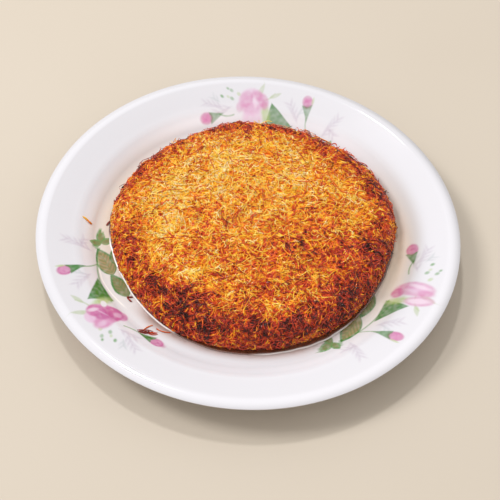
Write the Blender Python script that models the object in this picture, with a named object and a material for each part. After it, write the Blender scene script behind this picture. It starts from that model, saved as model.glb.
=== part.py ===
"""A round kunafa, a pan-baked disc of shredded pastry, lying on its white porcelain plate.

Metres, +Z up. The origin is under the middle of the plate, on the surface that its foot ring stands on.
"""

import math
import random

import bmesh
import bpy
from mathutils import Matrix, Vector, noise

MM = 0.001

# Plate: a dinner plate with a flat well and a broad, gently sloping rim
PLATE_RADIUS = 127 * MM
PLATE_HEIGHT = 23 * MM  # up to the corner that the lip rounds off
FLOOR_TOP = 6.5 * MM  # upper face of the well
FLOOR_UNDER = 2.4 * MM  # recessed underside, inside the foot ring
WELL_RADIUS, WELL_ROUND = 92.3 * MM, 8 * MM  # where the well turns up, and how roundly
RIM_RADIUS, RIM_Z, RIM_ROUND = 103.5 * MM, 14.9 * MM, 16 * MM  # where the rim begins
WALL = 3.6 * MM  # thickness of the porcelain at the rim
LIP_ROUND = 1.6 * MM
FOOT_INNER, FOOT_OUTER = 75.6 * MM, 79.6 * MM
FOOT_ROUND, FOOT_TAPER = 0.7 * MM, 0.8 * MM
PLATE_SEGMENTS = 64

# Kunafa: a disc with a rounded shoulder, a little off the plate's middle
KUNAFA_RADIUS = 86.3 * MM
KUNAFA_HEIGHT = 13.8 * MM
KUNAFA_CENTRE = (2.7 * MM, 3.3 * MM)
REST_GAP = 0.3 * MM  # the clearance that faceted solids keep where one rests on another
WIDEST_SHARE = 0.3  # how high up its side the disc is widest
SHOULDER_INSET, SHOULDER_ROUND = 6 * MM, 9 * MM
BASE_INSET, SIDE_ROUND = 2 * MM, 5 * MM
# Lobes of its outline: how many there are, how far they stand out, and the angle of a peak
OUTLINE_LOBES = ((2, 0.9 * MM, 34), (3, 0.8 * MM, 27), (4, 0.8 * MM, 7), (5, 0.8 * MM, 23))

# Relief of the matted pastry: broad swells, and the tufts on them
SWELL_HEIGHT, SWELL_SIZE = 0.9 * MM, 13 * MM
TUFT_HEIGHT, TUFT_SIZE = 0.9 * MM, 5 * MM
CORE_RINGS = 20  # over the top; each ring has six points more than the one inside it
SIDE_ROWS = 6

# Shreds: the pastry threads that stand out of the mat
SHRED_COUNT = 92
SHRED_REACH = 86 * MM  # how far over the skin from the top's middle their middles are spread
SHRED_RADIUS = 0.55 * MM
SHRED_LENGTHS = (12 * MM, 22 * MM)
SHRED_BENDS = (-3 * MM, 3 * MM)
SHRED_RISES = (0.5 * MM, 1.7 * MM)  # how high the middle of a shred's line stands over the mat
SHRED_ROOT = 1.3 * MM  # how deep its ends are buried
SHRED_STEPS = 6
SHRED_SIDES = 3
SHRED_SEED = 11

GOLDEN_ANGLE = math.pi * (3 - math.sqrt(5))
MERGE = 0.001 * MM


def clear_scene():
    for obj in list(bpy.data.objects):
        bpy.data.objects.remove(obj)


def material(name, colour, roughness):
    made = bpy.data.materials.new(name)
    made.use_nodes = True
    shader = made.node_tree.nodes["Principled BSDF"]
    shader.inputs["Base Color"].default_value = (*colour, 1)
    shader.inputs["Roughness"].default_value = roughness
    shader.inputs["Metallic"].default_value = 0
    return made


def new_object(name, bm, collection):
    mesh = bpy.data.meshes.new(name)
    bm.to_mesh(mesh)
    bm.free()
    obj = bpy.data.objects.new(name, mesh)
    collection.objects.link(obj)
    return obj


def shade(obj, finish, sharp_above=40):
    obj.data.materials.append(finish)
    obj.data.shade_smooth()
    obj.data.set_sharp_from_angle(angle=math.radians(sharp_above))


def rounded(corners):
    """A section through (radius, height, rounding, steps) corners, each turned by an arc of its rounding."""
    points = []
    for i, (r, z, rounding, steps) in enumerate(corners):
        corner = Vector((r, z))
        if not rounding:
            points.append(corner)
            continue
        back = (Vector(corners[i - 1][:2]) - corner).normalized()
        ahead = (Vector(corners[i + 1][:2]) - corner).normalized()
        half = back.angle(ahead) / 2
        centre = corner + (back + ahead).normalized() * rounding / math.sin(half)
        first = corner + back * rounding / math.tan(half) - centre
        last = corner + ahead * rounding / math.tan(half) - centre
        points += [centre + first.slerp(last, k / steps) * rounding for k in range(steps + 1)]
    return points


def plate_section():
    """From the middle of the well over the rim and its lip to the middle underneath."""
    return rounded([
        (0, FLOOR_TOP, 0, 0),
        (WELL_RADIUS, FLOOR_TOP, WELL_ROUND, 3),
        (RIM_RADIUS, RIM_Z, RIM_ROUND, 3),
        (PLATE_RADIUS, PLATE_HEIGHT, LIP_ROUND, 4),
        (PLATE_RADIUS, PLATE_HEIGHT - WALL, LIP_ROUND, 2),
        (RIM_RADIUS + WALL / 2, RIM_Z - WALL, RIM_ROUND, 2),
        (WELL_RADIUS, FLOOR_UNDER, WELL_ROUND, 2),
        (FOOT_OUTER + FOOT_TAPER, FLOOR_UNDER, 0, 0),
        (FOOT_OUTER, 0, FOOT_ROUND, 2),
        (FOOT_INNER, 0, FOOT_ROUND, 2),
        (FOOT_INNER - FOOT_TAPER, FLOOR_UNDER, 0, 0),
        (0, FLOOR_UNDER, 0, 0),
    ])


def make_plate(finish):
    bm = bmesh.new()
    points = [bm.verts.new((point.x, 0, point.y)) for point in plate_section()]
    edges = [bm.edges.new(pair) for pair in zip(points, points[1:])]
    whole_turn = {"axis": (0, 0, 1), "angle": math.tau, "steps": PLATE_SEGMENTS, "use_merge": True}
    bmesh.ops.spin(bm, geom=points + edges, **whole_turn)
    bmesh.ops.remove_doubles(bm, verts=bm.verts, dist=MERGE)
    bmesh.ops.recalc_face_normals(bm, faces=bm.faces)
    shade(new_object("plate", bm, bpy.context.scene.collection), finish)


def kunafa_section():
    """From the middle of the top over the shoulder and down the side to the base."""
    return rounded([
        (0, KUNAFA_HEIGHT, 0, 0),
        (KUNAFA_RADIUS - SHOULDER_INSET, KUNAFA_HEIGHT, SHOULDER_ROUND, 6),
        (KUNAFA_RADIUS, KUNAFA_HEIGHT * WIDEST_SHARE, SIDE_ROUND, 3),
        (KUNAFA_RADIUS - BASE_INSET, 0, 0, 0),
    ])


SECTION = kunafa_section()
SKIN_LENGTH = sum((b - a).length for a, b in zip(SECTION, SECTION[1:]))
TOP_LENGTH = SECTION[1].x  # the flat part of the top


def on_section(way):
    """The place at this length along the section, and the direction out of the pastry there."""
    for a, b in zip(SECTION, SECTION[1:]):
        step = (b - a).length
        if way <= step:
            break
        way -= step
    onward = (b - a).normalized()
    return a + onward * way, Vector((-onward.y, onward.x))


def lobes(angle):
    """How far the outline stands out of its circle at this angle."""
    return sum(out * math.cos(count * (angle - math.radians(peak))) for count, out, peak in OUTLINE_LOBES)


def relief(u, v):
    """How far the matted pastry swells out of its smooth section."""
    broad = noise.noise(Vector((u, v, 0)) / SWELL_SIZE)
    fine = noise.noise(Vector((u, v, SWELL_SIZE)) / TUFT_SIZE)
    return SWELL_HEIGHT * broad + TUFT_HEIGHT * fine


def skin(u, v, lift=0.0):
    """A place on the kunafa's skin, raised by lift, and the direction out of it.

    u and v are the place's coordinates on the skin laid out flat: its direction from the middle of
    the top is kept, and so is its way over the top, the shoulder and the side.
    """
    way = min(math.hypot(u, v), SKIN_LENGTH)
    angle = math.atan2(v, u)
    place, outward = on_section(way)
    at_base = min(1, (SKIN_LENGTH - way) / (KUNAFA_HEIGHT * WIDEST_SHARE))  # the base stays flat
    place += outward * (relief(u, v) * at_base + lift)
    radius = place.x * (1 + lobes(angle) / KUNAFA_RADIUS)
    turned = Matrix.Rotation(angle, 3, "Z")
    centre = Vector((*KUNAFA_CENTRE, FLOOR_TOP + REST_GAP))
    return centre + turned @ Vector((radius, 0, place.y)), turned @ Vector((outward.x, 0, outward.y))


def zip_rings(bm, inner, outer):
    """Triangles between two rings of points, which may differ in number."""
    i = j = 0
    while i < len(inner) or j < len(outer):
        here, there = inner[i % len(inner)], outer[j % len(outer)]
        if (j + 1) * len(inner) <= (i + 1) * len(outer):
            j += 1
            bm.faces.new((here, there, outer[j % len(outer)]))
        else:
            i += 1
            bm.faces.new((here, there, inner[i % len(inner)]))


def make_core(collection):
    """The matted body of the pastry, without the shreds that stand out of it."""
    ways = [(TOP_LENGTH * (i + 1) / CORE_RINGS, 6 * (i + 1)) for i in range(CORE_RINGS)]
    side = SKIN_LENGTH - TOP_LENGTH
    ways += [(TOP_LENGTH + side * (i + 1) / SIDE_ROWS, 6 * CORE_RINGS) for i in range(SIDE_ROWS)]
    bm = bmesh.new()
    rings = []
    for way, count in ways:
        turns = [math.tau * k / count for k in range(count)]
        rings.append([bm.verts.new(skin(way * math.cos(turn), way * math.sin(turn))[0]) for turn in turns])
    for inner, outer in zip(rings, rings[1:]):
        zip_rings(bm, inner, outer)
    bm.faces.new(rings[0])
    bm.faces.new(reversed(rings[-1]))
    bmesh.ops.triangulate(bm, faces=bm.faces)
    return new_object("kunafa", bm, collection)


def shred_line(index, draw):
    """Points along one shred, each with the direction out of the mat there.

    The shreds' middles spiral outward by the golden angle, which spreads them evenly.
    """
    way = SHRED_REACH * math.sqrt((index + 0.5) / SHRED_COUNT)
    middle = Vector((math.cos(index * GOLDEN_ANGLE), math.sin(index * GOLDEN_ANGLE))) * way
    heading = draw.uniform(0, math.tau)
    ahead = Vector((math.cos(heading), math.sin(heading)))
    aside = Vector((-ahead.y, ahead.x))
    length, bend, rise = draw.uniform(*SHRED_LENGTHS), draw.uniform(*SHRED_BENDS), draw.uniform(*SHRED_RISES)
    points = []
    for k in range(SHRED_STEPS + 1):
        share = k / SHRED_STEPS
        arch = math.sin(math.pi * share)
        place = middle + ahead * length * (share - 0.5) + aside * bend * arch
        points.append(skin(place.x, place.y, (rise + SHRED_ROOT) * math.sqrt(arch) - SHRED_ROOT))
    return points


def make_shred(name, line, collection):
    """A closed tube of few sides along the line, with a ridge turned outward."""
    bm = bmesh.new()
    rings = []
    for k, (place, outward) in enumerate(line):
        onward = line[min(k + 1, len(line) - 1)][0] - line[max(k - 1, 0)][0]
        aside = onward.cross(outward).normalized()
        upward = aside.cross(onward).normalized()
        turns = [math.tau * side / SHRED_SIDES for side in range(SHRED_SIDES)]
        offsets = [upward * math.cos(turn) + aside * math.sin(turn) for turn in turns]
        rings.append([bm.verts.new(place + offset * SHRED_RADIUS) for offset in offsets])
    for near, far in zip(rings, rings[1:]):
        for side in range(SHRED_SIDES):
            after = (side + 1) % SHRED_SIDES
            bm.faces.new((near[side], near[after], far[after], far[side]))
    bm.faces.new(reversed(rings[0]))
    bm.faces.new(rings[-1])
    bmesh.ops.recalc_face_normals(bm, faces=bm.faces)
    bmesh.ops.triangulate(bm, faces=bm.faces)
    return new_object(name, bm, collection)


def fuse(core, pieces):
    """Joins the collection's pieces onto the core, and removes them."""
    join = core.modifiers.new("Fuse shreds", "BOOLEAN")
    join.operation = "UNION"
    join.operand_type = "COLLECTION"
    join.collection = pieces
    join.solver = "EXACT"
    graph = bpy.context.evaluated_depsgraph_get()
    fused = bpy.data.meshes.new_from_object(core.evaluated_get(graph), depsgraph=graph)
    core.modifiers.clear()
    core.data = fused
    for piece in list(pieces.objects):
        bpy.data.objects.remove(piece)
    bpy.data.collections.remove(pieces)


def keep_largest_shell(mesh):
    """Fills the hollows that crossing shreds sealed, and drops loose scraps: both are shells of their own."""
    bm = bmesh.new()
    bm.from_mesh(mesh)
    bmesh.ops.remove_doubles(bm, verts=bm.verts, dist=MERGE)
    left = set(bm.faces)
    shells = []
    while left:
        shell = set()
        edge_of_shell = [left.pop()]
        while edge_of_shell:
            face = edge_of_shell.pop()
            shell.add(face)
            beside = {other for edge in face.edges for other in edge.link_faces} & left
            left -= beside
            edge_of_shell += beside
        shells.append(shell)
    largest = max(shells, key=len)
    spare = [face for face in bm.faces if face not in largest]
    bmesh.ops.delete(bm, geom=spare, context="FACES")
    bm.to_mesh(mesh)
    bm.free()


def make_kunafa(finish):
    shreds = bpy.data.collections.new("shreds")
    bpy.context.scene.collection.children.link(shreds)
    core = make_core(bpy.context.scene.collection)
    draw = random.Random(SHRED_SEED)
    for index in range(SHRED_COUNT):
        make_shred(f"shred_{index}", shred_line(index, draw), shreds)
    fuse(core, shreds)
    keep_largest_shell(core.data)
    shade(core, finish)


def main():
    clear_scene()
    make_plate(material("white glazed porcelain", (0.84, 0.84, 0.85), 0.12))
    make_kunafa(material("baked shredded pastry", (0.74, 0.33, 0.06), 0.35))


main()
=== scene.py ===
# %% [markdown]
# # A round kunafa on its dinner plate
# Kunafa is a cake of shredded pastry threads, pressed into a round pan, baked until its rim
# catches, and soaked with syrup. This lesson dresses a imported model of it. The model's solids
# give every size and place, so the first step is to load them.

# %% Load the frame
import math

import bpy
import numpy as np
from mathutils import Matrix, Vector, noise


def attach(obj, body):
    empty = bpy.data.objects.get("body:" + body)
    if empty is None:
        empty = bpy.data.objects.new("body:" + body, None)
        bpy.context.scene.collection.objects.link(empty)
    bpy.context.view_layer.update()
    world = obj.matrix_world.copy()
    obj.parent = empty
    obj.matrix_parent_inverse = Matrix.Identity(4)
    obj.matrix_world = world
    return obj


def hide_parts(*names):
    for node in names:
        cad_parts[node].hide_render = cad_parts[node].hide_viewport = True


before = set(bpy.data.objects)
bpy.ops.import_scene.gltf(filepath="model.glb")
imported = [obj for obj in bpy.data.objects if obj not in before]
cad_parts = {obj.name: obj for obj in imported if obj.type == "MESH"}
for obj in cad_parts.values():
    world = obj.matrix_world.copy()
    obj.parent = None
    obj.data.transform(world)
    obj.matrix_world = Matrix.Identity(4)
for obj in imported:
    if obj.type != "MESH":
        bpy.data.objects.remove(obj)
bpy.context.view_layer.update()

MM = 0.001
print("nodes", sorted(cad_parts))

# %% [markdown]
# The photograph was taken from above the front edge of the plate, with a moderately long lens.
# A camera could be turned until it looks right. Here its place was worked out from the plate,
# whose edge is a true circle: the ellipse that it makes gives the height of the view, the
# distance and the small roll of the camera.

# %% Camera
PHOTO_SIDE = 500  # pixels
FOCAL_PIXELS = 1000
SENSOR = 36  # millimetres
CAMERA_AIM = Vector((1.4 * MM, -21.3 * MM, 20.6 * MM))
CAMERA_DISTANCE = 589.6 * MM
CAMERA_HEIGHT_ANGLE = math.radians(52.5)
CAMERA_ROLL = math.radians(3.32)


def placed(name, data):
    """An object with this data, put into the scene."""
    made = bpy.data.objects.new(name, data)
    bpy.context.scene.collection.objects.link(made)
    return made


def make_camera():
    data = bpy.data.cameras.new("camera")
    data.lens = SENSOR * FOCAL_PIXELS / PHOTO_SIDE
    data.sensor_width = SENSOR
    camera = placed("camera", data)
    back = Vector((0, -math.cos(CAMERA_HEIGHT_ANGLE), math.sin(CAMERA_HEIGHT_ANGLE)))
    upright = Matrix.Rotation(math.pi / 2 - CAMERA_HEIGHT_ANGLE, 4, "X")
    roll = Matrix.Rotation(CAMERA_ROLL, 4, "Z")
    camera.matrix_world = Matrix.Translation(CAMERA_AIM + back * CAMERA_DISTANCE) @ upright @ roll
    return camera


bpy.context.scene.camera = make_camera()
print("camera at", [round(x, 3) for x in bpy.context.scene.camera.matrix_world.translation])

# %% [markdown]
# A node tree is easier to read as sums than as boxes and lines. The class below wraps one output
# socket, and Python's own operators on it add Math nodes. Every other node comes from one method,
# which takes the node's type, its settings, and the values or links of its sockets.

# %% Node trees as Python expressions
class Wire:
    """An output socket that takes part in Python expressions."""

    def __init__(self, tree, socket):
        self.tree = tree
        self.socket = socket

    def maths(self, operation, first, second):
        return self.tree.add("ShaderNodeMath", {"operation": operation}, {0: first, 1: second})

    def __add__(self, other):
        return self.maths("ADD", self, other)

    def __sub__(self, other):
        return self.maths("SUBTRACT", self, other)

    def __mul__(self, other):
        return self.maths("MULTIPLY", self, other)

    def __lt__(self, other):
        return self.maths("LESS_THAN", self, other)


class Tree:
    """A shader or geometry node tree, with one method that adds any node."""

    def __init__(self, node_tree):
        self.node_tree = node_tree

    def add(self, kind, settings=None, sockets=None, out=0):
        node = self.node_tree.nodes.new(kind)
        for name, value in (settings or {}).items():
            if name == "stops":
                self.fill_ramp(node.color_ramp, value)
            else:
                setattr(node, name, value)
        for key, value in (sockets or {}).items():
            self.feed(node.inputs[key], value)
        return Wire(self, node.outputs[out])

    def feed(self, socket, value):
        if isinstance(value, Wire):
            self.node_tree.links.new(value.socket, socket)
        else:
            socket.default_value = value

    def fill_ramp(self, ramp, stops):
        while len(ramp.elements) < len(stops):
            ramp.elements.new(1)
        for element, (place, colour) in zip(ramp.elements, stops):
            element.position = place
            element.color = colour

    def blend(self, factor, first, second):
        """The colour between two colours, by a factor from 0 to 1."""
        return self.add("ShaderNodeMix", {"data_type": "RGBA"}, {0: factor, 6: first, 7: second}, out=2)


def colour(red, green, blue):
    """The light that a screen colour of 0 to 255 stands for, with full opacity."""
    shares = [channel / 255 for channel in (red, green, blue)]
    return tuple(((s + 0.055) / 1.055) ** 2.4 if s > 0.04045 else s / 12.92 for s in shares) + (1.0,)


def new_finish(name, **constants):
    """A material, its node tree and its Principled shader, with the sockets that don't vary set."""
    made = bpy.data.materials.new(name)
    made.use_nodes = True
    shader = made.node_tree.nodes["Principled BSDF"]
    for socket, value in constants.items():
        shader.inputs[socket.replace("_", " ")].default_value = value
    return made, Tree(made.node_tree), shader


print("helpers ready")

# %% [markdown]
# The floor is plain and pale, just dark enough for the white plate to stand out. The photograph
# is lit by a broad soft light from the left, with a lot of light from everywhere else, so one
# large area light and a bright even world give the same soft shadows. Wet threads also need
# something bright to mirror. A second, small light gives them that from high behind, where the
# flat glaze and the rim don't mirror it, and the large one is kept out of all reflections.

# %% Floor and light
FLOOR_HALF = 1.5  # metres
FLOOR_DROP = 0.05 * MM  # under the foot ring
LIGHTS = (
    # name, place and side in metres, power in watts, whether shiny things mirror it
    ("key", Vector((-1.92, 0.26, 2.29)), 0.9, 51.0, False),
    ("glint", Vector((-0.50, 1.17, 2.72)), 0.22, 23.0, True),
)
LIGHT_COLOUR = (0.97, 0.975, 1.0)
WORLD_LIGHT = (1.0, 0.985, 0.975, 1)
WORLD_STRENGTH = 0.80


def mesh_object(name, points, faces, edges=()):
    """A mesh object at the origin, shaded smooth."""
    mesh = bpy.data.meshes.new(name)
    mesh.from_pydata(points, edges, faces)
    mesh.shade_smooth()
    return placed(name, mesh)


def make_floor():
    finish, tree, shader = new_finish("pale floor", Roughness=0.6)
    grain = tree.add("ShaderNodeTexNoise", None, {"Scale": 9.0, "Detail": 3.0})
    tree.feed(shader.inputs["Base Color"], tree.blend(grain, colour(190, 178, 161), colour(197, 186, 170)))
    corners = [(x * FLOOR_HALF, y * FLOOR_HALF, -FLOOR_DROP) for x, y in ((-1, -1), (1, -1), (1, 1), (-1, 1))]
    floor = mesh_object("floor", corners, [(0, 1, 2, 3)])
    floor.data.materials.append(finish)


def make_light(name, place, side, power, mirrored):
    data = bpy.data.lights.new(name, "AREA")
    data.size = side
    data.energy = power
    data.color = LIGHT_COLOUR
    light = placed(name, data)
    light.location = place
    light.rotation_euler = place.to_track_quat("Z", "Y").to_euler()
    light.visible_glossy = mirrored


def make_world():
    world = bpy.data.worlds.new("soft room")
    world.use_nodes = True
    sky = world.node_tree.nodes["Background"]
    sky.inputs["Color"].default_value = WORLD_LIGHT
    sky.inputs["Strength"].default_value = WORLD_STRENGTH
    bpy.context.scene.world = world


make_floor()
make_world()
for light in LIGHTS:
    make_light(*light)
bpy.context.scene.view_settings.view_transform = "Standard"
print(len(LIGHTS), "lights in a world of", WORLD_STRENGTH)

# %% [markdown]
# The plate is ordinary white porcelain: a flat well, a broad rim, a rounded lip and an unglazed
# foot ring. A Screw modifier on its section would do, but the flowers printed on the rim need
# fine points to carry their colours. So rings of points are worked out in arrays, far closer
# together where a spray is printed, and coarse everywhere else.

# %% Section of the plate
PLATE_RADIUS = 127 * MM
PLATE_HEIGHT = 23 * MM
FLOOR_TOP = 6.5 * MM
FLOOR_UNDER = 2.4 * MM
WELL_RADIUS, WELL_ROUND = 92.3 * MM, 8 * MM
RIM_RADIUS, RIM_Z, RIM_ROUND = 103.5 * MM, 14.9 * MM, 16 * MM
WALL = 3.6 * MM
LIP_ROUND = 1.6 * MM
FOOT_INNER, FOOT_OUTER = 75.6 * MM, 79.6 * MM
FOOT_ROUND, FOOT_TAPER = 0.7 * MM, 0.8 * MM
PRINT_REACH = (80 * MM, 121 * MM)  # the printed band, from the plate's middle
PRINT_STEP = 0.46 * MM
PLAIN_STEP = 6 * MM


def rounded(corners):
    """A section through (radius, height, rounding, steps) corners, each turned by an arc."""
    points = []
    for i, (r, z, rounding, steps) in enumerate(corners):
        corner = Vector((r, z))
        if not rounding:
            points.append(corner)
            continue
        back = (Vector(corners[i - 1][:2]) - corner).normalized()
        ahead = (Vector(corners[i + 1][:2]) - corner).normalized()
        half = back.angle(ahead) / 2
        centre = corner + (back + ahead).normalized() * rounding / math.sin(half)
        first = corner + back * rounding / math.tan(half) - centre
        last = corner + ahead * rounding / math.tan(half) - centre
        points += [centre + first.slerp(last, k / steps) * rounding for k in range(steps + 1)]
    return np.array(points)


UPPER = rounded([
    (0, FLOOR_TOP, 0, 0),
    (WELL_RADIUS, FLOOR_TOP, WELL_ROUND, 12),
    (RIM_RADIUS, RIM_Z, RIM_ROUND, 12),
    (PLATE_RADIUS, PLATE_HEIGHT, LIP_ROUND, 12),
    (PLATE_RADIUS, PLATE_HEIGHT - WALL, 0, 0),
])[:-1]
LOWER = rounded([
    (PLATE_RADIUS, PLATE_HEIGHT, 0, 0),
    (PLATE_RADIUS, PLATE_HEIGHT - WALL, LIP_ROUND, 8),
    (RIM_RADIUS + WALL / 2, RIM_Z - WALL, RIM_ROUND, 8),
    (WELL_RADIUS, FLOOR_UNDER, WELL_ROUND, 8),
    (FOOT_OUTER + FOOT_TAPER, FLOOR_UNDER, 0, 0),
    (FOOT_OUTER, 0, FOOT_ROUND, 5),
    (FOOT_INNER, 0, FOOT_ROUND, 5),
    (FOOT_INNER - FOOT_TAPER, FLOOR_UNDER, 0, 0),
    (0, FLOOR_UNDER, 0, 0),
])[1:]


def subdivided(section):
    """The section with points added, close together across the printed band."""
    rows = [section[0]]
    for a, b in zip(section, section[1:]):
        length = np.hypot(*(b - a))
        steps = max(1, math.ceil(length / PRINT_STEP))
        inside = [a + (b - a) * share for share in np.linspace(0, 1, steps + 1)]
        kept = 0.0
        for here, there in zip(inside, inside[1:]):
            kept += np.hypot(*(there - here))
            printed = PRINT_REACH[0] < there[0] < PRINT_REACH[1]
            if printed or kept > PLAIN_STEP:
                rows.append(there)
                kept = 0.0
        if kept < PRINT_STEP and len(rows) > 1:
            rows.pop()
        rows.append(b)
    return np.array(rows)


ROWS = subdivided(UPPER)
print(len(ROWS), "rings over the plate,", len(LOWER), "under it")

# %% [markdown]
# Each ring is divided in even steps round the plate. In the three sectors that carry flowers each
# step is divided again, so neighbouring rings of both kinds share their coarse points and the
# faces between them fan out without gaps.

# %% Mesh of the plate
STEPS_ROUND = 256
FINE_SHARE = 6  # fine steps in each step of a printed sector
SPRAY_ANGLES = (91.2, 220.5, 337.8)  # degrees, at the middle of each rose
SPRAY_SECTOR = (-39, 20)  # degrees from there that the print covers


def printed_at(degrees):
    """Whether a spray covers the rim in this direction."""
    aways = [(degrees - spray + 180) % 360 - 180 for spray in SPRAY_ANGLES]
    return any(SPRAY_SECTOR[0] < away < SPRAY_SECTOR[1] for away in aways)


COARSE = [math.tau * k / STEPS_ROUND for k in range(STEPS_ROUND)]
DIVISIONS = [FINE_SHARE if printed_at(math.degrees(turn)) else 1 for turn in COARSE]
FINE = [
    turn + math.tau * part / STEPS_ROUND / share
    for turn, share in zip(COARSE, DIVISIONS) for part in range(share)
]
TOP_ROWS = {(r, z) for r, z in ROWS}


def plate_points_and_faces():
    """Rings from the middle of the well over the lip to the middle underneath."""
    points, faces, rings = [(0, 0, FLOOR_TOP)], [], []
    for r, z in [*ROWS[1:], *LOWER[:-1]]:
        fine = PRINT_REACH[0] < r < PRINT_REACH[1] and (r, z) in TOP_ROWS
        turns = FINE if fine else COARSE
        rings.append((len(points), fine))
        points += [(r * math.cos(turn), r * math.sin(turn), z) for turn in turns]
    points.append((0, 0, FLOOR_UNDER))
    first, last = rings[0][0], rings[-1][0]
    for k in range(STEPS_ROUND):
        after = (k + 1) % STEPS_ROUND
        faces.append((0, first + k, first + after))
        faces.append((len(points) - 1, last + after, last + k))
    for (inner, inner_fine), (outer, outer_fine) in zip(rings, rings[1:]):
        faces += strip(inner, inner_fine, outer, outer_fine)
    return points, faces


def strip(inner, inner_fine, outer, outer_fine):
    """Faces between two rings, each coarse or fine."""
    faces = []
    inner_count, outer_count = (len(FINE) if fine else STEPS_ROUND for fine in (inner_fine, outer_fine))
    i = j = 0
    for share in DIVISIONS:
        inner_steps, outer_steps = share if inner_fine else 1, share if outer_fine else 1
        edge = [inner + (i + part) % inner_count for part in range(inner_steps + 1)]
        rim = [outer + (j + part) % outer_count for part in range(outer_steps + 1)]
        if inner_steps == outer_steps:
            faces += [(edge[k], rim[k], rim[k + 1], edge[k + 1]) for k in range(inner_steps)]
        else:
            faces.append((*reversed(edge), *rim))
        i += inner_steps
        j += outer_steps
    return faces


plate = mesh_object("plate_glazed", *plate_points_and_faces())
print("plate has", len(plate.data.vertices), "points and", len(plate.data.polygons), "faces")

# %% [markdown]
# The print is a traditional rose spray, three times round the rim: a pink rose, a dark leaf
# beside it, two buds, veined leaves towards the well and feathery sprigs. On real porcelain it is
# a transfer under the glaze, in soft washes of colour. It could be flat pieces lying on the
# plate, but those would stand proud. Here every brush mark is a formula on the points of the
# plate, which gives how strongly the mark covers each point.

# %% Brush marks
SPRAY_RADIUS = 104.4  # millimetres from the plate's middle to the rose's middle
EDGE = 0.5  # millimetres over which a mark fades out
GLAZE = colour(208, 206, 209)[:3]
INK_DEPTH = 0.77  # a colour on the lit plate looks lighter than it is
RIB_STEP, RIB_SLANT = 3.1, 1.2  # millimetres between a leaf's ribs, and how far they lean


def smooth(low, high, value):
    """0 up to low, 1 from high, and a soft step between them."""
    share = np.clip((value - low) / (high - low), 0, 1)
    return share * share * (3 - 2 * share)


def bell(value, middle, width):
    """1 at the middle, and a soft fall to nothing by two widths away."""
    return np.exp(-(((value - middle) / width) ** 2))


class Washes:
    """Colours laid over one another at the plate's points, in one spray's own frame.

    x runs round the plate and y outward, in millimetres from the middle of the rose.
    """

    def __init__(self, x, y, strength):
        self.x, self.y = x, y
        self.strength = strength
        self.laid = np.zeros((len(x), 3))
        self.cover = np.zeros(len(x))

    def lay(self, inside, shade, strength=1.0, soft=EDGE):
        """Covers the points by how far inside a mark they are, in millimetres."""
        share = smooth(-soft / 2, soft / 2, inside) * strength * self.strength
        self.laid = self.laid * (1 - share)[:, None] + np.outer(share, colour(*shade)[:3]) * INK_DEPTH
        self.cover = self.cover * (1 - share) + share

    def along(self, start, end, bow=0.0):
        """Share of the way to the end, distance aside, distance beyond the ends, and length."""
        (x0, y0), (x1, y1) = start, end
        length = math.hypot(x1 - x0, y1 - y0)
        dx, dy = (x1 - x0) / length, (y1 - y0) / length
        way = ((self.x - x0) * dx + (self.y - y0) * dy) / length
        inner = np.clip(way, 0, 1)
        aside = (self.y - y0) * dx - (self.x - x0) * dy - bow * 4 * inner * (1 - inner)
        return inner, aside, np.abs(way - inner) * length, length

    def oval(self, centre, across, along, turn, shade, strength=1.0, soft=EDGE, rim=None):
        """A petal, with a darker rim where one is given."""
        turn = math.radians(turn)
        dx, dy = self.x - centre[0], self.y - centre[1]
        u = (dx * math.cos(turn) + dy * math.sin(turn)) / across
        v = (dy * math.cos(turn) - dx * math.sin(turn)) / along
        inside = (1 - np.hypot(u, v)) * min(across, along)
        if rim:
            self.lay(inside, rim, strength, soft)
            inside = inside - 0.3 * min(across, along)
        self.lay(inside, shade, strength, soft)

    def stroke(self, start, end, width, shade, strength=1.0, bow=0.0, soft=EDGE):
        way, aside, beyond, length = self.along(start, end, bow)
        self.lay(width / 2 - np.hypot(aside, beyond), shade, strength, soft)

    def wedge(self, corners, shade, strength=1.0, soft=EDGE):
        """A leaf with three straight sides, whose corners run counter-clockwise."""
        inside = np.full(len(self.x), np.inf)
        for (x0, y0), (x1, y1) in zip(corners, corners[1:] + corners[:1]):
            length = math.hypot(x1 - x0, y1 - y0)
            edge = ((x1 - x0) * (self.y - y0) - (y1 - y0) * (self.x - x0)) / length
            inside = np.minimum(inside, edge)
        self.lay(inside, shade, strength, soft)

    def leaf(self, start, end, width, shade, strength=1.0, veins=None, bow=0.0, soft=EDGE):
        """A leaf that is widest below its middle, outlined and veined where a vein colour is given."""
        way, aside, beyond, length = self.along(start, end, bow)
        half = width / 2 * np.sin(math.pi * way ** 0.8) ** 0.85
        inside = half - np.abs(aside) - beyond
        if not veins:
            self.lay(inside, shade, strength, soft)
            return
        self.lay(inside, veins, strength)
        self.lay(inside - 0.7 - 0.9 * way, shade, strength, 1.0)
        ribs = 0.2 - np.abs(((way * length - RIB_SLANT * np.abs(aside)) / RIB_STEP) % 1 - 0.5)
        self.lay(np.minimum(np.maximum(0.25 - np.abs(aside), ribs), inside), veins, strength * 0.6)

    def sprig(self, start, end, pairs, leaflet, shade, strength=0.5):
        """A feathery sprig: a hair-thin stem with a pair of leaflets at every step."""
        self.stroke(start, end, 0.4, shade, strength * 0.6, soft=0.9)
        (x0, y0), (x1, y1) = start, end
        heading = math.atan2(y1 - y0, x1 - x0)
        for k in range(pairs):
            share = (k + 0.6) / pairs
            for side in (-1, 1):
                turn = heading + side * math.radians(28 + 14 * math.sin(7 * k + side))
                middle = (
                    x0 + (x1 - x0) * share + leaflet * 0.8 * math.cos(turn),
                    y0 + (y1 - y0) * share + leaflet * 0.8 * math.sin(turn),
                )
                sizes = leaflet * 0.9, leaflet * 0.26
                self.oval(middle, *sizes, math.degrees(turn), shade, strength * 0.8, soft=1.3)


print("glaze", [round(c, 2) for c in GLAZE])

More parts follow.
